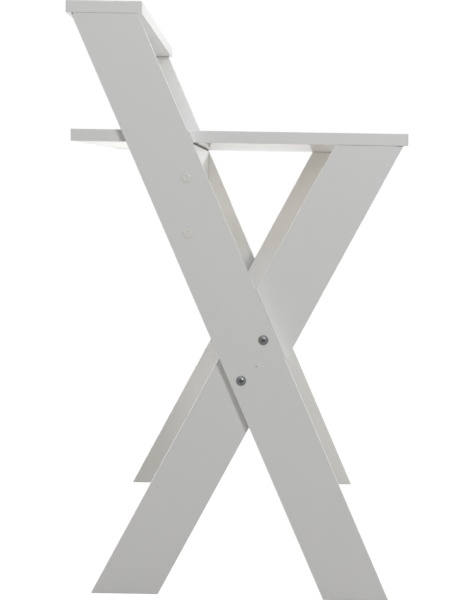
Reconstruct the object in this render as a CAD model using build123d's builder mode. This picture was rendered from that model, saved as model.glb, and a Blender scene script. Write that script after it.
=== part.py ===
from build123d import *
from dataclasses import dataclass
import math
import os

# Desk with X-shaped ends and an upper shelf, in millimetres.
# Origin: on the floor, in the middle of the desk's footprint.
# +Z is up, +X runs along the desk to the sitter's right, and the sitter's side faces -Y.

# Overall sizes
overall_length = 1100.0
desktop_height = 750.0
desktop_depth = 538.0
shelf_height = 951.4
shelf_depth = 120.0
shelf_reach_behind = 8.0

# Boards: their widths and lengths include the strips of edging glued round them
board = 19.0
edging = 1.0
edging_radius = 0.3
edging_joint = 0.1
end_arris = 0.4

# Legs: each middle line runs from the middle of its foot to the middle of its top end
leg_width = 96.0
outer_foot_setback = 69.5
outer_top_ahead = 0.4
inner_foot_setback = 94.3
inner_top_setback = 61.6
inner_top_fall = 0.45

# Modesty panel
panel_height = 190.0
panel_gap = 2.5
panel_ahead = 1.0

# Crossing bolts and the sleeve nuts that they screw into
bolt_thread = 6.0
bolt_hole_play = 0.5
bolt_head = 15.6
bolt_head_height = 3.2
bolt_head_rim = 0.7
bolt_spacing = 74.2
bolt_drop = 0.7
bolt_setback = 0.9
bolt_tip_cover = 4.0
sleeve = 9.0
sleeve_play = 0.2
sleeve_shy = 2.0
sleeve_end_wall = 3.0
thread_play = 0.15
recess_span = 7.6
recess_slot = 1.8
recess_depth = 1.9
recess_taper = 12.0
lower_recess_turn = 0.0
upper_recess_turn = 45.0

# Panel screws, and the caps over their heads
screw_length = 50.0
screw_shank = 7.0
screw_shank_shy = 1.0
screw_root = 5.0
screw_head = 10.0
screw_play = 0.2
screw_sink = 0.3
screw_point = 4.0
screw_point_tip = 1.2
screw_socket = 4.0
screw_socket_depth = 3.5
screw_top_drop = 56.0
screw_spacing = 88.0
countersink_angle = 90.0
cap_diameter = 16.0
cap_height = 0.9
cap_rim = 0.3
cap_dish = 0.35
cap_dish_diameter = 9.5
upper_cap_shift = 1.6
lower_cap_shift = -2.4

# Cams and cam bolts
cam_reach = 34.0
cam_bore = 15.0
cam_play = 0.2
cam_sink = 0.2
cam_floor = 1.0
cam_pocket = 10.4
cam_pocket_shift = 0.9
cam_head = 6.4
cam_head_length = 4.4
cam_neck = 3.8
cam_shaft_gap = 1.6
cam_shaft = 7.0
cam_shaft_bore = 8.0
cam_thread = 5.8
cam_thread_length = 11.0
cam_slot_play = 0.3
cam_turn = 90.0
cam_recess_span = 8.0
cam_recess_depth = 2.2
bore_spare = 0.5

# Dowels
dowel_diameter = 8.0
dowel_length = 30.0
dowel_shallow = 10.0
dowel_play = 0.2
desktop_dowel_spacing = 40.0
leg_dowel_spacing = 30.0

# Cuts that open a face run this far past it
overrun = 1.0

# Places worked out from the sizes above
mid_board = board / 2
half_length = overall_length / 2
desk_half = half_length - board
leg_inside = desk_half - board
front_y = -(desktop_depth + shelf_reach_behind) / 2
rear_y = front_y + desktop_depth
desk_middle = (front_y + rear_y) / 2
shelf_middle = rear_y + shelf_reach_behind - shelf_depth / 2
desk_under = desktop_height - board
shelf_under = shelf_height - board
sides = {"left": -1, "right": 1}


@dataclass(frozen=True)
class Leg:
    """A slanting board, given by its middle line in the YZ plane.

    outside is how far its outer face is from the middle of the desk's length. top_fall is how far the
    top end's front corner lies below its rear one.
    """

    foot_y: float
    top_y: float
    top_z: float
    outside: float
    top_fall: float = 0.0

    @property
    def slope(self):
        return (self.top_y - self.foot_y) / self.top_z

    @property
    def stretch(self):
        """Length along the board for each unit of height, and level width for each unit of width."""
        return math.hypot(self.top_y - self.foot_y, self.top_z) / self.top_z

    @property
    def along(self):
        return Axis((0, self.foot_y, 0), (0, self.top_y - self.foot_y, self.top_z))

    @property
    def across(self):
        return Axis((0, self.foot_y, 0), (0, self.top_z, self.foot_y - self.top_y))

    def middle(self, z):
        return self.foot_y + self.slope * z

    def level_half(self, inset=0.0):
        return (leg_width / 2 - inset) * self.stretch

    def top(self, way):
        """How high the top end is at the front edge for way -1, or at the rear edge for way 1."""
        return self.top_z - (self.top_fall if way < 0 else 0.0)

    def point(self, z, inset, way):
        """A point of the outline at a height, on the front edge for way -1 or the rear edge for way 1."""
        return (self.middle(z) + way * self.level_half(inset), z)


outer = Leg(front_y + outer_foot_setback, shelf_middle - outer_top_ahead, shelf_under, half_length)
inner_top_y = front_y + inner_top_setback
inner = Leg(rear_y - inner_foot_setback, inner_top_y, desk_under, desk_half, inner_top_fall)

# The bolts stand either side of the crossing of the middle lines, in a row along the inner leg
cross_z = (inner.foot_y - outer.foot_y) / (outer.slope - inner.slope)
cross_y = outer.middle(cross_z)
bolt_rises = [way * bolt_spacing / 2 / inner.stretch for way in (-1, 1)]
bolt_y = cross_y + bolt_setback
bolt_z = cross_z - bolt_drop
bolt_spots = [(bolt_y + rise * inner.slope, bolt_z + rise) for rise in bolt_rises]
bolt_length = 2 * board - bolt_tip_cover
sleeve_length = board - sleeve_shy

# The panel stands near the outer legs' middle line, and its screws run into its ends
panel_top = desk_under - panel_gap
panel_y = outer.middle(panel_top - panel_height / 2) - panel_ahead
screw_spots = [(panel_y, desk_under - screw_top_drop - drop) for drop in (0, screw_spacing)]
cap_spots = [(y + shift, z) for (y, z), shift in zip(screw_spots, (upper_cap_shift, lower_cap_shift))]

# A cam and a dowel hold each joint: either side of the leg's middle line at the desktop's ends,
# and on the middle line and behind it in the legs' top ends, so that neither pair meets the other
cam_height = mid_board + cam_head / 2 + cam_slot_play + cam_floor
cam_seat = math.sqrt((cam_pocket / 2) ** 2 - (cam_head / 2 + cam_slot_play) ** 2) - cam_pocket_shift
dowel_deep = dowel_length - dowel_shallow
desk_mid_z = desk_under + mid_board
desk_cam_y = outer.middle(desk_mid_z) - desktop_dowel_spacing / 2
desk_dowel_y = desk_cam_y + desktop_dowel_spacing


def cam_y(leg):
    """The cam in a leg's top end sits on the leg's middle line."""
    return leg.middle(leg.top_z - cam_reach)


def dowel_y(leg):
    """The dowel stands behind the leg's middle line, measured half-way down its bore."""
    return leg.middle(leg.top_z - dowel_deep / 2) + leg_dowel_spacing


# Shared cuts and shapes


def looking_along(x, spots, way):
    """Planes at x that look along +X or -X, one for each (y, z) spot."""
    return [Plane(origin=(x, y, z), x_dir=(0, 0, 1), z_dir=(way, 0, 0)) for y, z in spots]


def looking_up(z, spots, way=1):
    """Level planes at z that look up, or down for way -1, one for each (x, y) spot."""
    return [Plane(origin=(x, y, z), x_dir=(1, 0, 0), z_dir=(0, 0, way)) for x, y in spots]


def bore(planes, diameter, depth):
    """Round blind holes, each sunk into the material behind its plane."""
    with Locations(*planes):
        Hole(radius=diameter / 2, depth=depth)


def cross_recess(plane, span, slot, depth, turn=0.0):
    """A cross cut for a screwdriver, narrowing as it goes in, turned by an angle about its axis."""
    with BuildSketch(plane) as cross:
        Rectangle(span, slot, rotation=turn)
        Rectangle(slot, span, rotation=turn)
    extrude(cross.sketch, amount=-depth, taper=recess_taper, mode=Mode.SUBTRACT)


def turned(plane, profile):
    """A solid turned about the plane's x direction, from (along, radius) corners that start on the axis."""
    with BuildSketch(plane) as half_section:
        with BuildLine():
            Polyline(*profile, close=True)
        make_face()
    revolve(half_section.sketch, axis=Axis(plane.origin, plane.x_dir))


def save(builder, label):
    """Labels a finished piece and writes it to its own file."""
    builder.part.label = label
    export_step(builder.part, f"parts/{label}.step")


# Boards


def leg_blank(leg, way):
    """The leg's core, narrower than the leg by its edging, with the arrises of its top end broken."""
    corners = [(edging, -1), (edging, 1), (leg.top(1), 1), (leg.top(-1), -1)]
    with BuildSketch(Plane.YZ.offset(way * leg.outside)) as outline:
        with BuildLine():
            Polyline(*[leg.point(z, edging, edge) for z, edge in corners], close=True)
        make_face()
    core = extrude(outline.sketch, amount=-way * board)
    chamfer(core.faces().sort_by(Axis.Z)[-1].edges().sort_by(SortBy.LENGTH)[-2:], end_arris)


def leg_top_bores(leg, way):
    """Bores at the leg's top end: a cam in its inner face, a cam bolt and a dowel in the end itself."""
    mid_x = way * (leg.outside - mid_board)
    face_x = way * (leg.outside - board)
    cam_spot = (cam_y(leg), leg.top_z - cam_reach)
    bore(looking_along(face_x, [cam_spot], -way), cam_bore, cam_height + bore_spare)
    bore(looking_up(leg.top_z, [(mid_x, cam_y(leg))]), cam_shaft_bore, cam_reach)
    dowel_end = looking_up(leg.top_z, [(mid_x, dowel_y(leg))])
    bore(dowel_end, dowel_diameter + dowel_play, dowel_deep + bore_spare)


def make_outer_leg(side, way):
    with BuildPart() as outer_leg:
        leg_blank(outer, way)
        leg_top_bores(outer, way)
        bore(looking_along(way * half_length, bolt_spots, way), bolt_thread + bolt_hole_play, board + overrun)
        with Locations(*looking_along(way * half_length, screw_spots, way)):
            CounterSinkHole(
                radius=(screw_shank + screw_play) / 2,
                counter_sink_radius=(screw_head + screw_play) / 2 + screw_sink,
                depth=board + overrun,
                counter_sink_angle=countersink_angle,
            )
        bolt_seat = looking_along(way * desk_half, [(desk_cam_y, desk_mid_z)], -way)
        bore(bolt_seat, cam_thread + thread_play, cam_thread_length + bore_spare)
        dowel_end = looking_along(way * desk_half, [(desk_dowel_y, desk_mid_z)], -way)
        bore(dowel_end, dowel_diameter + dowel_play, dowel_shallow + bore_spare)
    save(outer_leg, f"{side}_outer_leg")


def make_inner_leg(side, way):
    with BuildPart() as inner_leg:
        leg_blank(inner, way)
        leg_top_bores(inner, way)
        bore(looking_along(way * desk_half, bolt_spots, way), sleeve + sleeve_play, board + overrun)
    save(inner_leg, f"{side}_inner_leg")


def make_desktop():
    with BuildPart() as desktop:
        with BuildSketch(Plane.XY.offset(desk_under)):
            with Locations((0, desk_middle)):
                Rectangle(2 * (desk_half - edging), desktop_depth - 2 * edging)
        extrude(amount=board)
        for way in sides.values():
            cam_mouth = looking_up(desk_under, [(way * (desk_half - cam_reach), desk_cam_y)], -1)
            bore(cam_mouth, cam_bore, cam_height + bore_spare)
            desktop_end_bores(way)
            leg_x = way * (desk_half - mid_board)
            bolt_seat = looking_up(desk_under, [(leg_x, cam_y(inner))], -1)
            bore(bolt_seat, cam_thread + thread_play, cam_thread_length + bore_spare)
            leg_dowel = looking_up(desk_under, [(leg_x, dowel_y(inner))], -1)
            bore(leg_dowel, dowel_diameter + dowel_play, dowel_shallow + bore_spare)
    save(desktop, "desktop")


def desktop_end_bores(way):
    """Bores along the desk in one end of the desktop, for the cam bolt and the dowel."""
    shaft = looking_along(way * desk_half, [(desk_cam_y, desk_mid_z)], way)
    bore(shaft, cam_shaft_bore, cam_reach)
    dowel_end = looking_along(way * desk_half, [(desk_dowel_y, desk_mid_z)], way)
    bore(dowel_end, dowel_diameter + dowel_play, dowel_deep + bore_spare)


def make_upper_shelf():
    with BuildPart() as upper_shelf:
        with BuildSketch(Plane.XY.offset(shelf_under)):
            with Locations((0, shelf_middle)):
                Rectangle(2 * (half_length - edging), shelf_depth - 2 * edging)
        extrude(amount=board)
        seat_x = half_length - mid_board
        bolt_seats = looking_up(shelf_under, [(way * seat_x, cam_y(outer)) for way in sides.values()], -1)
        bore(bolt_seats, cam_thread + thread_play, cam_thread_length + bore_spare)
        leg_dowels = looking_up(shelf_under, [(way * seat_x, dowel_y(outer)) for way in sides.values()], -1)
        bore(leg_dowels, dowel_diameter + dowel_play, dowel_shallow + bore_spare)
    save(upper_shelf, "upper_shelf")


def make_modesty_panel():
    with BuildPart() as modesty_panel:
        with BuildSketch(Plane.XY.offset(panel_top - edging)):
            with Locations((0, panel_y)):
                Rectangle(2 * desk_half, board)
        extrude(amount=-(panel_height - 2 * edging))
        for way in sides.values():
            pilot_depth = screw_length - board + bore_spare
            bore(looking_along(way * desk_half, screw_spots, way), screw_root + screw_play, pilot_depth)
    save(modesty_panel, "modesty_panel")


# Edging: strips glued to the boards' edges, with their outer corners rounded


def make_leg_edging(leg, way, label):
    """Two long strips, and a short one under the foot between them."""
    sole_corners = [(0, -1), (0, 1), (edging, 1), (edging, -1)]
    with BuildPart() as strips:
        with BuildSketch(Plane.YZ.offset(way * leg.outside)):
            for edge in (-1, 1):
                long_corners = [(0, 0), (0, edging), (leg.top(edge), edging), (leg.top(edge), 0)]
                with BuildLine():
                    Polyline(*[leg.point(z, inset, edge) for z, inset in long_corners], close=True)
                make_face()
            with BuildLine():
                Polyline(*[leg.point(z, edging + edging_joint, edge) for z, edge in sole_corners], close=True)
            make_face()
        extrude(amount=-way * board)
        outer_faces = [strips.faces().sort_by(leg.across)[end] for end in (0, -1)]
        fillet([e for face in outer_faces for e in face.edges().filter_by(leg.along)], edging_radius)
    save(strips, label)


def make_top_edging(label, under_z, middle_y, length, depth, end_bores=False):
    """Strips round a level board: front and rear ones of its full length, with the end ones between them."""
    with BuildPart() as strips:
        with BuildSketch(Plane.XY.offset(under_z)):
            with Locations(*[(0, middle_y + way * (depth - edging) / 2) for way in (-1, 1)]):
                Rectangle(length, edging)
            with Locations(*[(way * (length - edging) / 2, middle_y) for way in (-1, 1)]):
                Rectangle(edging, depth - 2 * (edging + edging_joint))
        extrude(amount=board)
        for end in (0, -1):
            long_face = strips.faces().sort_by(Axis.Y)[end]
            fillet(long_face.edges().filter_by(Axis.X), edging_radius)
            end_face = strips.faces().filter_by(Axis.X).group_by(Axis.X)[end].sort_by(SortBy.AREA)[-1]
            fillet(end_face.edges().filter_by(Axis.Y), edging_radius)
        if end_bores:
            for way in sides.values():
                desktop_end_bores(way)
    save(strips, label)


def make_panel_edging():
    """One strip along the panel's top edge and one along its bottom edge."""
    with BuildPart() as strips:
        with BuildSketch(Plane.XZ.offset(-panel_y - mid_board)):
            with Locations((0, panel_top - edging / 2), (0, panel_top - panel_height + edging / 2)):
                Rectangle(2 * desk_half, edging)
        extrude(amount=board)
        outer_faces = [strips.faces().sort_by(Axis.Z)[end] for end in (0, -1)]
        fillet([e for face in outer_faces for e in face.edges().filter_by(Axis.X)], edging_radius)
    save(strips, "modesty_panel_edging")


# Crossing bolts and sleeve nuts


def domed_head(plane):
    """A low dome, rim and flat seat, turned about the plane's x direction, which points into the board."""
    with BuildSketch(plane) as half_section:
        with BuildLine():
            rim = (-bolt_head_rim, bolt_head / 2)
            crown = (-bolt_head_height, 0)
            RadiusArc(rim, crown, -dome_radius(bolt_head / 2, bolt_head_height - bolt_head_rim))
            Polyline(crown, (0, 0), (0, bolt_head / 2), rim)
        make_face()
    revolve(half_section.sketch, axis=Axis(plane.origin, plane.x_dir))


def dome_radius(half_width, rise):
    """Radius of the arc that rises this much over this half width."""
    return (half_width**2 + rise**2) / (2 * rise)


def into_board(x, spot, way):
    """A plane at a spot on a face that looks along +X or -X, with its x direction pointing into the board."""
    return Plane(origin=(x, *spot), x_dir=(-way, 0, 0), z_dir=(0, 1, 0))


def make_crossing_bolts(side, way):
    shank = bolt_thread / 2
    with BuildPart() as bolts:
        for spot in bolt_spots:
            axis_plane = into_board(way * half_length, spot, way)
            domed_head(axis_plane)
            turned(axis_plane, [(0, 0), (0, shank), (bolt_length, shank), (bolt_length, 0)])
        crowns = looking_along(way * (half_length + bolt_head_height), bolt_spots, way)
        for crown, turn in zip(crowns, (lower_recess_turn, upper_recess_turn)):
            cross_recess(crown, recess_span, recess_slot, recess_depth, turn)
    save(bolts, f"{side}_crossing_bolts")


def make_sleeve_nuts(side, way):
    with BuildPart() as nuts:
        for spot in bolt_spots:
            axis_plane = into_board(way * leg_inside, spot, -way)
            domed_head(axis_plane)
            turned(axis_plane, [(0, 0), (0, sleeve / 2), (sleeve_length, sleeve / 2), (sleeve_length, 0)])
        mouths = looking_along(way * (leg_inside + sleeve_length), bolt_spots, way)
        bore(mouths, bolt_thread + thread_play, sleeve_length - sleeve_end_wall)
        for crown in looking_along(way * (leg_inside - bolt_head_height), bolt_spots, -way):
            cross_recess(crown, recess_span, recess_slot, recess_depth)
    save(nuts, f"{side}_sleeve_nuts")


# Panel screws and their caps


def make_panel_screws(side, way):
    """Long screws: a countersunk head, a plain shank through the leg, a thinner body in the panel's end."""
    cone = (screw_head - screw_shank) / 2
    profile = [
        (screw_sink, 0),
        (screw_sink, screw_head / 2),
        (screw_sink + cone, screw_shank / 2),
        (board - screw_shank_shy, screw_shank / 2),
        (board - screw_shank_shy, screw_root / 2),
        (screw_length - screw_point, screw_root / 2),
        (screw_length, screw_point_tip / 2),
        (screw_length, 0),
    ]
    with BuildPart() as screws:
        for spot in screw_spots:
            turned(into_board(way * half_length, spot, way), profile)
        for socket in looking_along(way * (half_length - screw_sink), screw_spots, way):
            with BuildSketch(socket):
                RegularPolygon(radius=screw_socket / 2, side_count=6, major_radius=False)
            extrude(amount=-screw_socket_depth, mode=Mode.SUBTRACT)
    save(screws, f"{side}_panel_screws")


def make_screw_caps(side, way):
    """Thin covers stuck by hand over the screws, a little off their middles, each with a shallow dish."""
    rim = (-cap_rim, cap_diameter / 2)
    ring = (-cap_height, cap_dish_diameter / 2)
    centre = (cap_dish - cap_height, 0)
    shoulder = dome_radius((cap_diameter - cap_dish_diameter) / 2, cap_height - cap_rim)
    with BuildPart() as caps:
        for spot in cap_spots:
            axis_plane = into_board(way * half_length, spot, way)
            with BuildSketch(axis_plane):
                with BuildLine():
                    RadiusArc(rim, ring, -shoulder)
                    RadiusArc(ring, centre, dome_radius(cap_dish_diameter / 2, cap_dish))
                    Polyline(centre, (0, 0), (0, cap_diameter / 2), rim)
                make_face()
            revolve(axis=Axis(axis_plane.origin, axis_plane.x_dir))
    save(caps, f"{side}_screw_caps")


# Cams, cam bolts and dowels


def cam(face):
    """A cam sunk in a face: the plane looks out of the face, and its x direction points at the bolt."""
    with BuildSketch(face.offset(-cam_sink)) as barrel:
        Circle((cam_bore - cam_play) / 2)
    extrude(barrel.sketch, amount=cam_sink - cam_height)
    bolt_level = face.offset(-mid_board)
    head_room = cam_head / 2 + cam_slot_play
    neck_room = cam_neck / 2 + cam_slot_play
    with BuildSketch(bolt_level) as pocket:
        with Locations((-cam_pocket_shift, 0)):
            Circle(cam_pocket / 2)
        with Locations((0, cam_bore / 4)):
            Rectangle(2 * head_room, cam_bore / 2 + overrun)
    extrude(pocket.sketch, amount=head_room, both=True, mode=Mode.SUBTRACT)
    with BuildSketch(bolt_level) as neck_way:
        with BuildLine():
            wall_arc = CenterArc((0, 0), cam_bore / 2 + overrun, 0, cam_turn)
            Polyline(wall_arc @ 1, (0, 0), wall_arc @ 0)
        make_face()
        with Locations((cam_bore / 4, 0)):
            Rectangle(cam_bore / 2 + overrun, 2 * neck_room)
    extrude(neck_way.sketch, amount=neck_room, both=True, mode=Mode.SUBTRACT)
    cross_recess(face.offset(-cam_sink), cam_recess_span, recess_slot, cam_recess_depth)


def cam_bolt(axis_plane):
    """A bolt along the plane's x direction from its cam's middle: head, neck, shaft and threaded end."""
    head_front = cam_seat - cam_head_length
    neck_end = cam_bore / 2 + cam_shaft_gap
    thread_end = cam_reach + cam_thread_length
    profile = [
        (head_front, 0),
        (head_front, cam_head / 2),
        (cam_seat, cam_head / 2),
        (cam_seat, cam_neck / 2),
        (neck_end, cam_neck / 2),
        (neck_end, cam_shaft / 2),
        (cam_reach, cam_shaft / 2),
        (cam_reach, cam_thread / 2),
        (thread_end, cam_thread / 2),
        (thread_end, 0),
    ]
    turned(axis_plane, profile)


def make_dowel(end, label):
    """A dowel that starts at the plane and runs the way the plane looks."""
    with BuildPart() as dowel:
        with BuildSketch(end):
            Circle(dowel_diameter / 2)
        extrude(amount=dowel_length)
    save(dowel, label)


def make_desktop_fittings(side, way):
    """A cam under the end of the desktop, its bolt into the outer leg, and a dowel beside it."""
    cam_x = way * (desk_half - cam_reach)
    with BuildPart() as cam_piece:
        cam(Plane(origin=(cam_x, desk_cam_y, desk_under), x_dir=(way, 0, 0), z_dir=(0, 0, -1)))
    save(cam_piece, f"{side}_desktop_cam")
    with BuildPart() as bolt_piece:
        cam_bolt(Plane(origin=(cam_x, desk_cam_y, desk_mid_z), x_dir=(way, 0, 0), z_dir=(0, 0, 1)))
    save(bolt_piece, f"{side}_desktop_cam_bolt")
    dowel_start = looking_along(way * (desk_half - dowel_deep), [(desk_dowel_y, desk_mid_z)], way)
    make_dowel(dowel_start[0], f"{side}_desktop_dowel")


def make_leg_top_fittings(leg, side, way, joint):
    """A cam in the leg's inner face, its bolt up into the board above, and a dowel behind it."""
    mid_x = way * (leg.outside - mid_board)
    face_x = way * (leg.outside - board)
    cam_z = leg.top_z - cam_reach
    with BuildPart() as cam_piece:
        cam(Plane(origin=(face_x, cam_y(leg), cam_z), x_dir=(0, 0, 1), z_dir=(-way, 0, 0)))
    save(cam_piece, f"{side}_{joint}_cam")
    with BuildPart() as bolt_piece:
        cam_bolt(Plane(origin=(mid_x, cam_y(leg), cam_z), x_dir=(0, 0, 1), z_dir=(0, 1, 0)))
    save(bolt_piece, f"{side}_{joint}_cam_bolt")
    dowel_start = looking_up(leg.top_z - dowel_deep, [(mid_x, dowel_y(leg))])
    make_dowel(dowel_start[0], f"{side}_{joint}_dowel")


# Making every piece

os.makedirs("parts", exist_ok=True)
make_desktop()
make_upper_shelf()
make_modesty_panel()
make_top_edging("desktop_edging", desk_under, desk_middle, 2 * desk_half, desktop_depth, end_bores=True)
make_top_edging("upper_shelf_edging", shelf_under, shelf_middle, overall_length, shelf_depth)
make_panel_edging()
for side, way in sides.items():
    make_outer_leg(side, way)
    make_inner_leg(side, way)
    make_leg_edging(outer, way, f"{side}_outer_leg_edging")
    make_leg_edging(inner, way, f"{side}_inner_leg_edging")
    make_crossing_bolts(side, way)
    make_sleeve_nuts(side, way)
    make_panel_screws(side, way)
    make_screw_caps(side, way)
    make_desktop_fittings(side, way)
    make_leg_top_fittings(outer, side, way, "shelf")
    make_leg_top_fittings(inner, side, way, "inner_leg")
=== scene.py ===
"""Dresses the desk with crossed side legs and an upper shelf: its finishes, the studio and the camera.

Everything is in metres, in the part's own frame: +Z up, +X along the desk, and the sitter's side towards -Y.
"""

import logging
import math
from dataclasses import dataclass, field
from enum import Enum

import bpy
from mathutils import Matrix, Vector


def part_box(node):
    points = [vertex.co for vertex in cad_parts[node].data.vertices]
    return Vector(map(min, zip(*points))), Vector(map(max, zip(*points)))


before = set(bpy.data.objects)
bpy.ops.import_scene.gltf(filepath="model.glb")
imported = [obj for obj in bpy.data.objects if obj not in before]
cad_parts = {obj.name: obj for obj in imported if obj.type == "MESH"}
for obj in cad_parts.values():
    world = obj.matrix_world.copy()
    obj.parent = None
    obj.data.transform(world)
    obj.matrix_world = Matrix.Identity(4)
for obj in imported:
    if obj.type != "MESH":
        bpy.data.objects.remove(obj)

log = logging.getLogger("desk")

Colour = tuple[float, float, float]
Spot = tuple[float, float, float]
Band = tuple[float, float]

WHITE: Colour = (1.0, 1.0, 1.0)

# Where a value is fitted from one band to another, it most often ends in one of these.
RISING: Band = (0.0, 1.0)
FALLING: Band = (1.0, 0.0)

# Noise keeps near its middle, so a finish changes over one of these bands of it: a wider and a narrower one.
WIDE_SWING: Band = (0.3, 0.7)
NARROW_SWING: Band = (0.35, 0.65)

# How nearly edge-on a surface is seen where its relief starts to flatten, and where it is flat: 1 is edge-on.
RELIEF_FADE: Band = (0.5, 0.85)

HOLLOW_SAMPLES = 8
PLASTIC_REFRACTION = 1.5


class Side(Enum):
    """The two ends of the desk, as the sitter sees them."""

    LEFT = "left"
    RIGHT = "right"


class Faces(Enum):
    """Which way the two wide faces of a board look, as the output of a separated vector."""

    ENDWAYS = "X"
    FRONT_AND_BACK = "Y"
    UP_AND_DOWN = "Z"


class Ray(Enum):
    """The kinds of ray that see the plain white background, by the names of their sockets."""

    CAMERA = "Is Camera Ray"
    GLOSSY = "Is Glossy Ray"
    TRANSMISSION = "Is Transmission Ray"


@dataclass(frozen=True)
class Mark:
    """A small mark painted on a board, longer along Y than it is high: a rubbed spot, or painted shade in a
    dark gap where the board meets another piece.

    squeeze is its height as a share of its length, and core the share of it that has its full colour.
    """

    place: Spot
    half_height: float
    squeeze: float
    colour: Colour
    core: float = 0.4


@dataclass(frozen=True)
class Noise:
    """Soft noise: how many bumps fit in a metre, how many finer layers it has, and its squeeze each way."""

    per_metre: float
    layers: float
    squeeze: Spot = (1.0, 1.0, 1.0)


@dataclass(frozen=True)
class HollowShade:
    """Painted shade in a hollow or beside another piece: how far it reaches, how it fades, and its colour."""

    reach: float
    fade: Band
    colour: Colour


@dataclass(frozen=True)
class ClearLayer:
    """The thin clear layer over a white plastic surface: how much of it there is, and how rough it is."""

    weight: float = 0.5
    roughness: float = 0.03


class Sheet:
    """The node sheet of one material, with short ways to add nodes and to join them."""

    def __init__(self, name: str) -> None:
        """Starts a material with one principled shader.

        Args:
            name: the material's name.
        """
        self.material = bpy.data.materials.new(name)
        self.material.use_nodes = True
        self.tree = self.material.node_tree
        self.tree.nodes.clear()
        end = self.add("ShaderNodeOutputMaterial")
        self.shader = self.add("ShaderNodeBsdfPrincipled")
        self.join(self.shader.outputs["BSDF"], end.inputs["Surface"])
        coordinates = self.add("ShaderNodeTexCoord")
        self.place = coordinates.outputs["Object"]
        self.share_of_box = coordinates.outputs["Generated"]

    def add(self, kind: str) -> bpy.types.Node:
        """Adds a node of a kind."""
        return self.tree.nodes.new(kind)

    def join(self, start: bpy.types.NodeSocket, end: bpy.types.NodeSocket) -> None:
        """Joins two sockets."""
        self.tree.links.new(start, end)

    def plain(self, **values: float) -> None:
        """Sets plain values on the shader's own sockets.

        Args:
            values: a value for each socket, named with an underscore for each space.
        """
        for name, value in values.items():
            self.shader.inputs[name.replace("_", " ")].default_value = value

    def noise(self, noise: Noise) -> bpy.types.NodeSocket:
        """Soft noise over the object.

        Args:
            noise: how coarse, how detailed and how squeezed it is.

        Returns:
            The noise's value, from 0 to 1.
        """
        texture = self.add("ShaderNodeTexNoise")
        texture.inputs["Scale"].default_value = noise.per_metre
        texture.inputs["Detail"].default_value = noise.layers
        mapping = self.add("ShaderNodeMapping")
        mapping.vector_type = "POINT"
        mapping.inputs["Scale"].default_value = noise.squeeze
        self.join(self.place, mapping.inputs["Vector"])
        self.join(mapping.outputs["Vector"], texture.inputs["Vector"])
        return texture.outputs["Fac"]

    def cells(self, per_metre: float) -> bpy.types.Node:
        """Rounded cells over the object, each with a colour of its own.

        Args:
            per_metre: how many cells fit in a metre.

        Returns:
            The node of the cells.
        """
        texture = self.add("ShaderNodeTexVoronoi")
        texture.inputs["Scale"].default_value = per_metre
        self.join(self.place, texture.inputs["Vector"])
        return texture

    def fitted(self, value: bpy.types.NodeSocket, band: Band, to: Band = RISING) -> bpy.types.NodeSocket:
        """A value fitted from one band to another, and held inside it.

        Args:
            value: the value to fit.
            band: the start and the end of the band that it is fitted from.
            to: what the start and the end become.

        Returns:
            The fitted value.
        """
        fit = self.add("ShaderNodeMapRange")
        for name, end in zip(("From Min", "From Max", "To Min", "To Max"), (*band, *to)):
            fit.inputs[name].default_value = end
        self.join(value, fit.inputs["Value"])
        return fit.outputs["Result"]

    def blended(
        self,
        share: bpy.types.NodeSocket,
        first: Colour | bpy.types.NodeSocket,
        second: Colour | bpy.types.NodeSocket,
    ) -> bpy.types.NodeSocket:
        """A colour between two colours.

        Args:
            share: how much of the second colour there is, from 0 to 1.
            first: the first colour.
            second: the second colour.

        Returns:
            The blended colour.
        """
        mix = self.add("ShaderNodeMix")
        mix.data_type = "RGBA"
        self.join(share, mix.inputs["Factor"])
        for name, colour in (("A", first), ("B", second)):
            socket = next(s for s in mix.inputs if s.name == name and s.type == "RGBA")
            if isinstance(colour, bpy.types.NodeSocket):
                self.join(colour, socket)
            else:
                socket.default_value = (*colour, 1.0)
        return next(s for s in mix.outputs if s.type == "RGBA")

    def scaled(self, value: bpy.types.NodeSocket, share: bpy.types.NodeSocket) -> bpy.types.NodeSocket:
        """A value multiplied by another.

        Args:
            value: the value.
            share: what it is multiplied by, from 0 to 1.

        Returns:
            The product.
        """
        node = self.add("ShaderNodeMath")
        node.operation = "MULTIPLY"
        self.join(value, node.inputs[0])
        self.join(share, node.inputs[1])
        return node.outputs["Value"]

    def relief(self, *layers: tuple[bpy.types.NodeSocket, float]) -> None:
        """Gives the surface a fine relief, which flattens out where the surface is seen nearly edge-on.

        Args:
            layers: for each layer its height from 0 to 1, and how many metres the whole height is.
        """
        strength = self.fitted(self.add("ShaderNodeLayerWeight").outputs["Facing"], RELIEF_FADE, FALLING)
        normal = None
        for height, depth in layers:
            bump = self.add("ShaderNodeBump")
            bump.inputs["Distance"].default_value = depth
            self.join(strength, bump.inputs["Strength"])
            self.join(height, bump.inputs["Height"])
            if normal is not None:
                self.join(normal, bump.inputs["Normal"])
            normal = bump.outputs["Normal"]
        self.join(normal, self.shader.inputs["Normal"])

    def colour(self, colour: bpy.types.NodeSocket) -> None:
        """Joins a colour to the shader."""
        self.join(colour, self.shader.inputs["Base Color"])

    def roughness(self, roughness: bpy.types.NodeSocket) -> None:
        """Joins a roughness to the shader."""
        self.join(roughness, self.shader.inputs["Roughness"])

    def with_hollow_shade(self, colour: bpy.types.NodeSocket, hollow_shade: HollowShade) -> bpy.types.NodeSocket:
        """A colour with painted shade in the hollows, and along the line where another piece meets the
        surface.

        Args:
            colour: the clean colour.
            hollow_shade: the painted shade, darker where the surface lies deeper in a hollow.

        Returns:
            The colour with the painted shade.
        """
        # Painted shade: the occlusion of nearby surfaces darkens the colour.
        return self.blended(self.fitted(self.hollows(hollow_shade.reach), hollow_shade.fade, FALLING), colour, hollow_shade.colour)

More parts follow.
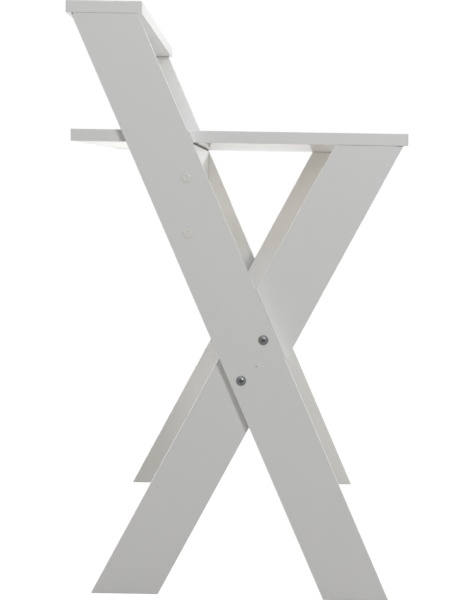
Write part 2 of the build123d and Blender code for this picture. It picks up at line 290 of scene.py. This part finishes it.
    def marked(self, colour: bpy.types.NodeSocket, marks: tuple[Mark, ...]) -> bpy.types.NodeSocket:
        """A colour with small marks.

        Args:
            colour: the colour without the marks.
            marks: the marks, none for a clean surface.

        Returns:
            The colour with the marks.
        """
        for mark in marks:
            shift = self.add("ShaderNodeMapping")
            shift.vector_type = "TEXTURE"
            shift.inputs["Location"].default_value = mark.place
            shift.inputs["Scale"].default_value = (1.0, 1.0 / mark.squeeze, 1.0)
            self.join(self.place, shift.inputs["Vector"])
            reach = self.add("ShaderNodeVectorMath")
            reach.operation = "LENGTH"
            self.join(shift.outputs["Vector"], reach.inputs[0])
            rim = (mark.half_height * mark.core, mark.half_height)
            colour = self.blended(self.fitted(reach.outputs["Value"], rim, FALLING), colour, mark.colour)
        return colour

    def hollows(self, reach: float) -> bpy.types.NodeSocket:
        """How deep in a corner or hollow the surface lies.

        Args:
            reach: how far away, in metres, a neighbouring surface still counts.

        Returns:
            0 in a tight hollow and 1 in the open.
        """
        shade = self.add("ShaderNodeAmbientOcclusion")
        shade.samples = HOLLOW_SAMPLES
        shade.inputs["Distance"].default_value = reach
        return shade.outputs["AO"]

    def lacquer(self, layer: ClearLayer) -> None:
        """Lays a clear layer over the white plastic."""
        self.plain(IOR=PLASTIC_REFRACTION, Coat_Weight=layer.weight, Coat_Roughness=layer.roughness)


# The boards and their edging share the painted shade along their joints and in tight corners, and the clear
# layer on top.
JOINT_SHADE = HollowShade(0.0016, (0.5, 0.95), (0.46, 0.44, 0.41))
CLEAR_LAYER = ClearLayer()


@dataclass(frozen=True)
class BoardFacing:
    """White melamine on chipboard: satin and finely pearled, with bare chipboard in bores and cut ends.

    facing_edge is how deep the facing reaches, as a share of the way from a wide face to the board's middle.
    """

    faces: Faces
    name: str
    white: Colour = (0.80, 0.80, 0.792)
    clouded: Colour = (0.795, 0.795, 0.785)
    clouds: Noise = Noise(7.0, 4.0)
    pearl: Colour = (0.76, 0.76, 0.752)
    pearls: Noise = Noise(420.0, 2.0)
    pearl_band: Band = (0.45, 0.85)
    pearl_height: float = 0.00001
    smudges: Noise = Noise(16.0, 3.0)
    roughness: Band = (0.30, 0.32)
    speck: Colour = (0.42, 0.38, 0.34)
    specks_per_metre: float = 22.0
    speck_radius: float = 0.0004
    speck_core: float = 0.6
    facing_edge: Band = (0.008, 0.01)
    chip_pale: Colour = (0.30, 0.21, 0.135)
    chip_deep: Colour = (0.10, 0.066, 0.04)
    chips_per_metre: float = 520.0
    fibres: Noise = Noise(1500.0, 3.0)
    pits: Noise = Noise(520.0, 3.0)
    pit_depth: float = 0.0003
    # Painted shade along the joints and in tight corners.
    joint_shade: HollowShade = JOINT_SHADE
    clear: ClearLayer = CLEAR_LAYER
    marks: tuple[Mark, ...] = ()

    def melamine(self, sheet: Sheet) -> bpy.types.NodeSocket:
        """The printed white: faint clouds, a fine pearl and a few specks.

        Args:
            sheet: the material's node sheet.

        Returns:
            The colour.
        """
        clouds = sheet.fitted(sheet.noise(self.clouds), WIDE_SWING)
        white = sheet.blended(clouds, self.white, self.clouded)
        pearls = sheet.fitted(sheet.noise(self.pearls), self.pearl_band)
        white = sheet.blended(pearls, white, self.pearl)
        dots = sheet.cells(self.specks_per_metre)
        rim = self.speck_radius * self.specks_per_metre
        speck = sheet.fitted(dots.outputs["Distance"], (rim * self.speck_core, rim), FALLING)
        return sheet.blended(speck, white, self.speck)

    def core(self, sheet: Sheet) -> bpy.types.NodeSocket:
        """The chipboard: pressed brown chips, pale and dark, with finer fibres.

        Args:
            sheet: the material's node sheet.

        Returns:
            The colour.
        """
        chips = sheet.cells(self.chips_per_metre)
        parts = sheet.add("ShaderNodeSeparateColor")
        sheet.join(chips.outputs["Color"], parts.inputs["Color"])
        fibres = sheet.fitted(sheet.noise(self.fibres), WIDE_SWING)
        chip = sheet.blended(parts.outputs["Red"], self.chip_pale, self.chip_deep)
        return sheet.blended(sheet.scaled(fibres, parts.outputs["Green"]), chip, self.chip_deep)

    def depth_in_board(self, sheet: Sheet) -> bpy.types.NodeSocket:
        """How far a point lies below the nearer wide face, from 0 at the face to 1 in the board's middle.

        Args:
            sheet: the material's node sheet.

        Returns:
            The depth.
        """
        middle = 0.5
        split = sheet.add("ShaderNodeSeparateXYZ")
        sheet.join(sheet.share_of_box, split.inputs["Vector"])
        wave = sheet.add("ShaderNodeMath")
        wave.operation = "PINGPONG"
        wave.inputs[1].default_value = middle
        sheet.join(split.outputs[self.faces.value], wave.inputs[0])
        return sheet.fitted(wave.outputs["Value"], (0.0, middle))

    def build(self) -> bpy.types.Material:
        """Builds the finish.

        Returns:
            The material.
        """
        sheet = Sheet(self.name)
        bare = sheet.fitted(self.depth_in_board(sheet), self.facing_edge)
        # The white darkens with painted shade along the joints and in tight corners.
        white = sheet.with_hollow_shade(self.melamine(sheet), self.joint_shade)
        sheet.colour(sheet.marked(sheet.blended(bare, white, self.core(sheet)), self.marks))
        sheet.roughness(sheet.fitted(sheet.noise(self.smudges), NARROW_SWING, self.roughness))
        pits = sheet.scaled(sheet.noise(self.pits), bare)
        sheet.relief((sheet.noise(self.pearls), self.pearl_height), (pits, self.pit_depth))
        sheet.lacquer(self.clear)
        return sheet.material


@dataclass(frozen=True)
class Edging:
    """Thin white plastic strip: a touch glossier than the facing, with faint ripples from its roller."""

    name: str = "edging"
    white: Colour = (0.805, 0.805, 0.797)
    rubbed: Colour = (0.80, 0.799, 0.789)
    rubs: Noise = Noise(30.0, 4.0)
    rub_band: Band = (0.5, 0.75)
    ripples: Noise = Noise(240.0, 1.0)
    ripple_height: float = 0.000008
    roughness: Band = (0.28, 0.3)
    # Painted shade along the joints and in tight corners.
    joint_shade: HollowShade = JOINT_SHADE
    clear: ClearLayer = CLEAR_LAYER
    marks: tuple[Mark, ...] = ()

    def build(self) -> bpy.types.Material:
        """Builds the finish.

        Returns:
            The material.
        """
        sheet = Sheet(self.name)
        rubs = sheet.noise(self.rubs)
        plastic = sheet.blended(sheet.fitted(rubs, self.rub_band), self.white, self.rubbed)
        # The plastic darkens with painted shade along the joints and in tight corners.
        sheet.colour(sheet.marked(sheet.with_hollow_shade(plastic, self.joint_shade), self.marks))
        sheet.roughness(sheet.fitted(rubs, NARROW_SWING, self.roughness))
        sheet.relief((sheet.noise(self.ripples), self.ripple_height))
        sheet.lacquer(self.clear)
        return sheet.material


@dataclass(frozen=True)
class ZincPlate:
    """Bright zinc plate on steel, its colours darkened as painted shade for the dim room that it would
    mirror: bluish, with straw-coloured patches, fine scratches, and painted shade in the cross recess and
    round the rim.
    """

    name: str = "zinc_plate"
    # Both plate colours are darkened as painted shade, standing in for the dim room that the zinc would
    # mirror.
    blue: Colour = (0.138, 0.151, 0.165)
    straw: Colour = (0.152, 0.15, 0.128)
    patches: Noise = Noise(160.0, 3.0)
    straw_band: Band = (0.45, 0.7)
    # Painted shade in the cross recess, and round the rim where the head meets the board.
    recess_shade: HollowShade = HollowShade(0.003, (0.45, 0.9), (0.03, 0.03, 0.025))
    scratches: Noise = Noise(2600.0, 2.0, (1.0, 1.0, 0.2))
    scratch_height: float = 0.000008
    roughness: Band = (0.26, 0.36)

    def build(self) -> bpy.types.Material:
        """Builds the finish.

        Returns:
            The material.
        """
        sheet = Sheet(self.name)
        patches = sheet.noise(self.patches)
        plate = sheet.blended(sheet.fitted(patches, self.straw_band), self.blue, self.straw)
        # The plate darkens with painted shade in its hollows.
        sheet.colour(sheet.with_hollow_shade(plate, self.recess_shade))
        sheet.roughness(sheet.fitted(patches, WIDE_SWING, self.roughness))
        sheet.relief((sheet.noise(self.scratches), self.scratch_height))
        sheet.plain(Metallic=1.0)
        return sheet.material


@dataclass(frozen=True)
class CastZinc:
    """Tumbled zinc casting: dull grey, softly pitted, with painted shade in its hollows."""

    name: str = "cast_zinc"
    grey: Colour = (0.52, 0.53, 0.55)
    dark: Colour = (0.30, 0.31, 0.32)
    patches: Noise = Noise(260.0, 3.0)
    dark_band: Band = (0.4, 0.75)
    # Painted shade in the hollows of the casting.
    hollows: HollowShade = HollowShade(0.002, (0.2, 0.8), (0.06, 0.06, 0.06))
    pits: Noise = Noise(900.0, 3.0)
    pit_height: float = 0.00005
    roughness: Band = (0.42, 0.62)

    def build(self) -> bpy.types.Material:
        """Builds the finish.

        Returns:
            The material.
        """
        sheet = Sheet(self.name)
        patches = sheet.noise(self.patches)
        metal = sheet.blended(sheet.fitted(patches, self.dark_band), self.grey, self.dark)
        # The casting darkens with painted shade in its hollows.
        sheet.colour(sheet.with_hollow_shade(metal, self.hollows))
        sheet.roughness(sheet.fitted(patches, WIDE_SWING, self.roughness))
        sheet.relief((sheet.noise(self.pits), self.pit_height))
        sheet.plain(Metallic=1.0)
        return sheet.material


@dataclass(frozen=True)
class Beech:
    """Bare beech dowel: pinkish straw, with short dark flecks along the grain and fluted sides."""

    name: str = "dowel_wood"
    pale: Colour = (0.66, 0.47, 0.29)
    deep: Colour = (0.50, 0.33, 0.19)
    grain: Noise = Noise(420.0, 5.0, (0.12, 1.0, 0.12))
    grain_height: float = 0.00006
    fleck: Colour = (0.30, 0.17, 0.09)
    flecks: Noise = Noise(1500.0, 2.0, (0.12, 1.0, 0.12))
    fleck_band: Band = (0.64, 0.72)
    roughness: Band = (0.6, 0.78)

    def build(self) -> bpy.types.Material:
        """Builds the finish.

        Returns:
            The material.
        """
        sheet = Sheet(self.name)
        grain = sheet.noise(self.grain)
        wood = sheet.blended(sheet.fitted(grain, NARROW_SWING), self.pale, self.deep)
        flecks = sheet.fitted(sheet.noise(self.flecks), self.fleck_band)
        sheet.colour(sheet.blended(flecks, wood, self.fleck))
        sheet.roughness(sheet.fitted(grain, WIDE_SWING, self.roughness))
        sheet.relief((grain, self.grain_height))
        return sheet.material


@dataclass(frozen=True)
class CapPlastic:
    """Moulded white cap: warmer than the boards, with a fine spark-eroded grain."""

    name: str = "cap_plastic"
    white: Colour = (0.81, 0.80, 0.755)
    worn: Colour = (0.75, 0.735, 0.68)
    patches: Noise = Noise(120.0, 3.0)
    worn_band: Band = (0.4, 0.7)
    grain: Noise = Noise(3200.0, 1.0)
    grain_height: float = 0.000015
    roughness: Band = (0.36, 0.5)

    def build(self) -> bpy.types.Material:
        """Builds the finish.

        Returns:
            The material.
        """
        sheet = Sheet(self.name)
        patches = sheet.noise(self.patches)
        sheet.colour(sheet.blended(sheet.fitted(patches, self.worn_band), self.white, self.worn))
        sheet.roughness(sheet.fitted(patches, WIDE_SWING, self.roughness))
        sheet.relief((sheet.noise(self.grain), self.grain_height))
        return sheet.material


# What the photograph shows on the left legs: a rubbed spot by the crossing, and two dark gaps at top corners
# where the legs meet the shelf and the desktop, drawn as painted shade.
LEFT_LEG_MARKS = {
    "outer_leg": (
        Mark((-0.55, -0.037, 0.376), 0.0009, 0.34, (0.33, 0.25, 0.23)),
        # Painted shade: the dark gap where the leg's top rear corner meets the shelf.
        Mark((-0.55, 0.2622, 0.9306), 0.0014, 0.8, (0.07, 0.055, 0.045)),
    ),
    "inner_leg": (
        # Painted shade: the dark gap where the leg's top front corner meets the desktop.
        Mark((-0.531, -0.2639, 0.7302), 0.0011, 0.07, (0.12, 0.10, 0.09)),
    ),
}


@dataclass(frozen=True)
class Finishes:
    """Every finish of the desk, built once and shared by its pieces."""

    boards: dict[Faces, bpy.types.Material] = field(
        default_factory=lambda: {faces: BoardFacing(faces, f"board_{faces.value}").build() for faces in Faces}
    )
    marked_legs: dict[str, bpy.types.Material] = field(
        default_factory=lambda: {leg: BoardFacing(Faces.ENDWAYS, f"marked_{leg}", marks=marks).build()
                                 for leg, marks in LEFT_LEG_MARKS.items()}
    )
    marked_edging: dict[str, bpy.types.Material] = field(
        default_factory=lambda: {leg: Edging(f"marked_{leg}_edging", marks=marks).build()
                                 for leg, marks in LEFT_LEG_MARKS.items()}
    )
    edging: bpy.types.Material = field(default_factory=lambda: Edging().build())
    plate: bpy.types.Material = field(default_factory=lambda: ZincPlate().build())
    casting: bpy.types.Material = field(default_factory=lambda: CastZinc().build())
    beech: bpy.types.Material = field(default_factory=lambda: Beech().build())
    cap: bpy.types.Material = field(default_factory=lambda: CapPlastic().build())


@dataclass(frozen=True)
class Assembly:
    """A sub-assembly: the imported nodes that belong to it."""

    finishes: Finishes

    def put(self, finish: bpy.types.Material, *nodes: str) -> list[str]:
        """Gives nodes a finish.

        Args:
            finish: the finish's material.
            nodes: the nodes' names.

        Returns:
            The names of the nodes.
        """
        for name in nodes:
            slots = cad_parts[name].data.materials
            slots.clear()
            slots.append(finish)
        return list(nodes)


@dataclass(frozen=True)
class LevelBoards(Assembly):
    """The desktop, the upper shelf and the modesty panel, with the edging round them."""

    boards: tuple[tuple[str, Faces], ...] = (
        ("desktop", Faces.UP_AND_DOWN),
        ("upper_shelf", Faces.UP_AND_DOWN),
        ("modesty_panel", Faces.FRONT_AND_BACK),
    )

    def dress(self) -> list[str]:
        """Dresses the boards and their edging.

        Returns:
            The names of the dressed pieces.
        """
        dressed = []
        for board, faces in self.boards:
            dressed += self.put(self.finishes.boards[faces], board)
            dressed += self.put(self.finishes.edging, f"{board}_edging")
        return dressed


@dataclass(frozen=True)
class CrossedLegs(Assembly):
    """The two slanting legs at one end of the desk, with their edging."""

    side: Side
    legs: tuple[str, ...] = ("outer_leg", "inner_leg")

    def dress(self) -> list[str]:
        """Dresses the legs and their edging.

        Returns:
            The names of the dressed pieces.
        """
        dressed = []
        for leg in self.legs:
            board = f"{self.side.value}_{leg}"
            facing, edging = self.finishes.boards[Faces.ENDWAYS], self.finishes.edging
            if self.side is Side.LEFT:
                facing, edging = self.finishes.marked_legs[leg], self.finishes.marked_edging[leg]
            dressed += self.put(facing, board)
            dressed += self.put(edging, f"{board}_edging")
        return dressed


@dataclass(frozen=True)
class Fastenings(Assembly):
    """What holds one end of the desk together."""

    side: Side
    plated: tuple[str, ...] = ("crossing_bolts", "sleeve_nuts", "panel_screws")
    joints: tuple[str, ...] = ("desktop", "shelf", "inner_leg")

    def dress(self) -> list[str]:
        """Dresses the bolts, nuts, screws, caps, cams and dowels.

        Returns:
            The names of the dressed pieces.
        """
        side = self.side.value
        plated = [f"{side}_{name}" for name in self.plated]
        plated += [f"{side}_{joint}_cam_bolt" for joint in self.joints]
        castings = [f"{side}_{joint}_cam" for joint in self.joints]
        dowels = [f"{side}_{joint}_dowel" for joint in self.joints]
        return [
            *self.put(self.finishes.plate, *plated),
            *self.put(self.finishes.casting, *castings),
            *self.put(self.finishes.beech, *dowels),
            *self.put(self.finishes.cap, f"{side}_screw_caps"),
        ]


@dataclass(frozen=True)
class Lamp:
    """One soft lamp of the studio, a rectangle that shines from its place towards its aim.

    in_gloss says whether gloss mirrors it, and spread is the angle that it shines over, in radians.
    """

    name: str
    place: Spot
    aim: Spot
    width: float
    height: float
    watts: float
    colour: Colour
    in_gloss: bool = True
    spread: float = math.pi

    def light(self) -> None:
        """Hangs the lamp and points it."""
        data = bpy.data.lights.new(self.name, "AREA")
        data.shape = "RECTANGLE"
        data.size = self.width
        data.size_y = self.height
        data.energy = self.watts
        data.color = self.colour
        data.spread = self.spread
        lamp = bpy.data.objects.new(self.name, data)
        lamp.location = self.place
        lamp.rotation_mode = "QUATERNION"
        lamp.rotation_quaternion = (Vector(self.aim) - Vector(self.place)).to_track_quat("-Z", "Y")
        lamp.visible_camera = False
        lamp.visible_glossy = self.in_gloss
        bpy.context.scene.collection.objects.link(lamp)


@dataclass(frozen=True)
class Studio:
    """The plain white studio: a white surround, a white floor that keeps a faint shadow, and soft lamps.

    The weak lamps that gloss doesn't mirror stand in for the light that a real studio throws back.
    """

    ambient_strength: float = 0.135
    floor_white: Colour = (0.53, 0.50, 0.46)
    floor_glow: float = 1.17
    floor_glow_share: float = 0.85
    floor_half: float = 6.0
    lamps: tuple[Lamp, ...] = (
        Lamp("key_lamp", (-3.3, -0.9, 1.6), (-0.55, 0.0, 0.5), 0.5, 0.5, 29.7, (0.94, 0.975, 1.0)),
        Lamp("fill_lamp", (-1.7, 0.25, 1.8), (-0.55, 0.0, 0.8), 1.2, 0.8, 4.2, (1.0, 0.98, 0.98)),
        Lamp("top_lamp", (0.2, 0.3, 3.2), (0.0, 0.0, 0.5), 2.4, 2.0, 48.0, (1.0, 1.0, 1.0)),
        Lamp("shelf_lamp", (-0.3, -1.2, 1.2), (0.53, 0.2, 0.85), 0.5, 0.5, 6.0,
             (1.0, 0.98, 0.99), in_gloss=False),
        Lamp("front_lamp", (-0.4, -0.8, 0.62), (0.53, 0.0, 0.6), 0.5, 0.3, 2.6,
             (1.0, 0.935, 0.79), in_gloss=False),
        Lamp("rear_lamp", (-0.4, 0.9, 0.65), (0.51, 0.0, 0.45), 0.3, 0.3, 0.106,
             (0.61, 0.785, 1.0), in_gloss=False, spread=0.65),
        Lamp("leg_lamp", (-0.35, 0.35, 0.42), (0.512, 0.085, 0.22), 0.12, 0.12, 0.009,
             (1.0, 0.94, 0.83), in_gloss=False, spread=0.32),
        Lamp("knee_lamp", (-0.35, -0.3, 0.45), (0.53, 0.06, 0.64), 0.12, 0.12, 0.0155,
             (1.0, 1.0, 0.98), in_gloss=False, spread=0.25),
        Lamp("under_lamp", (-0.05, 0.32, 0.05), (-0.05, 0.2, 0.73), 0.8, 0.06, 0.32,
             (1.0, 0.98, 0.93), in_gloss=False, spread=0.45),
        Lamp("low_shelf_lamp", (0.0, 0.1, 0.77), (0.0, 0.22, 0.932), 0.9, 0.05, 0.06,
             (1.0, 1.0, 0.97), in_gloss=False, spread=0.9),
        Lamp("end_lamp", (3.3, 0.4, 1.4), (0.55, 0.0, 0.5), 0.8, 0.8, 26.0,
             (1.0, 1.0, 0.98), in_gloss=False),
    )

    def seen_directly(self, tree: bpy.types.NodeTree) -> bpy.types.NodeSocket:
        """1 for the rays that see the background, and 0 for those that carry its light.

        Args:
            tree: the node tree to add the test to.

        Returns:
            The socket of the test.
        """
        path = tree.nodes.new("ShaderNodeLightPath")
        seen = path.outputs[Ray.CAMERA.value]
        for ray in (Ray.GLOSSY, Ray.TRANSMISSION):
            either = tree.nodes.new("ShaderNodeMath")
            either.operation = "MAXIMUM"
            tree.links.new(seen, either.inputs[0])
            tree.links.new(path.outputs[ray.value], either.inputs[1])
            seen = either.outputs["Value"]
        return seen

    def mixed(
        self,
        tree: bpy.types.NodeTree,
        share: bpy.types.NodeSocket,
        first: bpy.types.NodeSocket,
        second: bpy.types.NodeSocket,
        kind: str,
    ) -> None:
        """Ends a node tree in a mix of two shaders.

        Args:
            tree: the node tree.
            share: how much of the second shader there is, from 0 to 1.
            first: the first shader.
            second: the second shader.
            kind: the kind of node that the tree ends in.
        """
        mix = tree.nodes.new("ShaderNodeMixShader")
        end = tree.nodes.new(kind)
        for place, socket in enumerate((share, first, second)):
            tree.links.new(socket, mix.inputs[place])
        tree.links.new(mix.outputs["Shader"], end.inputs["Surface"])

    def surround(self) -> None:
        """Builds the surround: white to look at, and a dimmer white as a light."""
        world = bpy.data.worlds.new("surround")
        bpy.context.scene.world = world
        world.use_nodes = True
        tree = world.node_tree
        tree.nodes.clear()
        glow = tree.nodes.new("ShaderNodeBackground")
        glow.inputs["Color"].default_value = (*WHITE, 1.0)
        glow.inputs["Strength"].default_value = self.ambient_strength
        white = tree.nodes.new("ShaderNodeBackground")
        white.inputs["Color"].default_value = (*WHITE, 1.0)
        backs = (glow.outputs["Background"], white.outputs["Background"])
        self.mixed(tree, self.seen_directly(tree), *backs, "ShaderNodeOutputWorld")

    def floor(self) -> None:
        """Lays the floor: it carries light and a faint shadow, and looks white."""
        half = self.floor_half
        mesh = bpy.data.meshes.new("studio_floor")
        corners = [(-half, -half, 0.0), (half, -half, 0.0), (half, half, 0.0), (-half, half, 0.0)]
        mesh.from_pydata(corners, [], [(0, 1, 2, 3)])
        material = bpy.data.materials.new("studio_white")
        material.use_nodes = True
        tree = material.node_tree
        tree.nodes.clear()
        matt = tree.nodes.new("ShaderNodeBsdfDiffuse")
        matt.inputs["Color"].default_value = (*self.floor_white, 1.0)
        glow = tree.nodes.new("ShaderNodeEmission")
        glow.inputs["Strength"].default_value = self.floor_glow
        share = tree.nodes.new("ShaderNodeMath")
        share.operation = "MULTIPLY"
        share.inputs[1].default_value = self.floor_glow_share
        tree.links.new(self.seen_directly(tree), share.inputs[0])
        shaders = (matt.outputs["BSDF"], glow.outputs["Emission"])
        self.mixed(tree, share.outputs["Value"], *shaders, "ShaderNodeOutputMaterial")
        mesh.materials.append(material)
        floor = bpy.data.objects.new("studio_floor", mesh)
        bpy.context.scene.collection.objects.link(floor)

    def build(self) -> None:
        """Builds the whole studio."""
        self.surround()
        self.floor()
        for lamp in self.lamps:
            lamp.light()
        bpy.context.scene.view_settings.view_transform = "Standard"


@dataclass(frozen=True)
class PhotoCamera:
    """The camera that took the photograph, found from the desk's edges in a frame of 471 by 600 pixels.

    The angles are in radians: yaw turns it about the upright, pitch tips it up, and roll leans it.
    """

    eye: Spot = (-3.40369, -0.02299, 0.68666)
    focal_pixels: float = 1796.27
    long_side_pixels: float = 600.0
    sensor_millimetres: float = 36.0
    yaw: float = 0.00732
    pitch: float = -0.07161
    roll: float = 0.01612

    def axes(self) -> tuple[Vector, Vector, Vector]:
        """Works out which way the camera's right, up and forward point.

        Returns:
            The three directions.
        """
        level = Vector((math.cos(self.yaw), math.sin(self.yaw), 0.0))
        right = Vector((math.sin(self.yaw), -math.cos(self.yaw), 0.0))
        rise = Vector((0.0, 0.0, 1.0))
        forward = level * math.cos(self.pitch) + rise * math.sin(self.pitch)
        up = rise * math.cos(self.pitch) - level * math.sin(self.pitch)
        turn, lean = math.cos(self.roll), math.sin(self.roll)
        return right * turn + up * lean, up * turn - right * lean, forward

    def build(self) -> None:
        """Sets the camera up and makes it the scene's own."""
        data = bpy.data.cameras.new("photo_camera")
        data.sensor_width = self.sensor_millimetres
        data.lens = self.focal_pixels * self.sensor_millimetres / self.long_side_pixels
        camera = bpy.data.objects.new("photo_camera", data)
        right, up, forward = self.axes()
        turned = Matrix((right, up, -forward)).transposed().to_4x4()
        camera.matrix_world = Matrix.Translation(self.eye) @ turned
        bpy.context.scene.collection.objects.link(camera)
        bpy.context.scene.camera = camera


def report(name: str, pieces: list[str]) -> None:
    """Logs what a sub-assembly has dressed.

    Args:
        name: the sub-assembly's name.
        pieces: the names of its pieces.
    """
    for piece in pieces:
        low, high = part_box(piece)
        log.info("%s: %s, %.3f x %.3f x %.3f m", name, piece, *(high - low))


def main() -> None:
    """Builds the studio and the camera, and dresses the desk."""
    logging.basicConfig(level=logging.INFO, format="%(name)s: %(message)s")
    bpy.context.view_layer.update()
    Studio().build()
    PhotoCamera().build()
    finishes = Finishes()
    report("level boards", LevelBoards(finishes).dress())
    for side in Side:
        report(f"{side.value} legs", CrossedLegs(finishes, side).dress())
        report(f"{side.value} fastenings", Fastenings(finishes, side).dress())


if __name__ == "__main__":
    main()
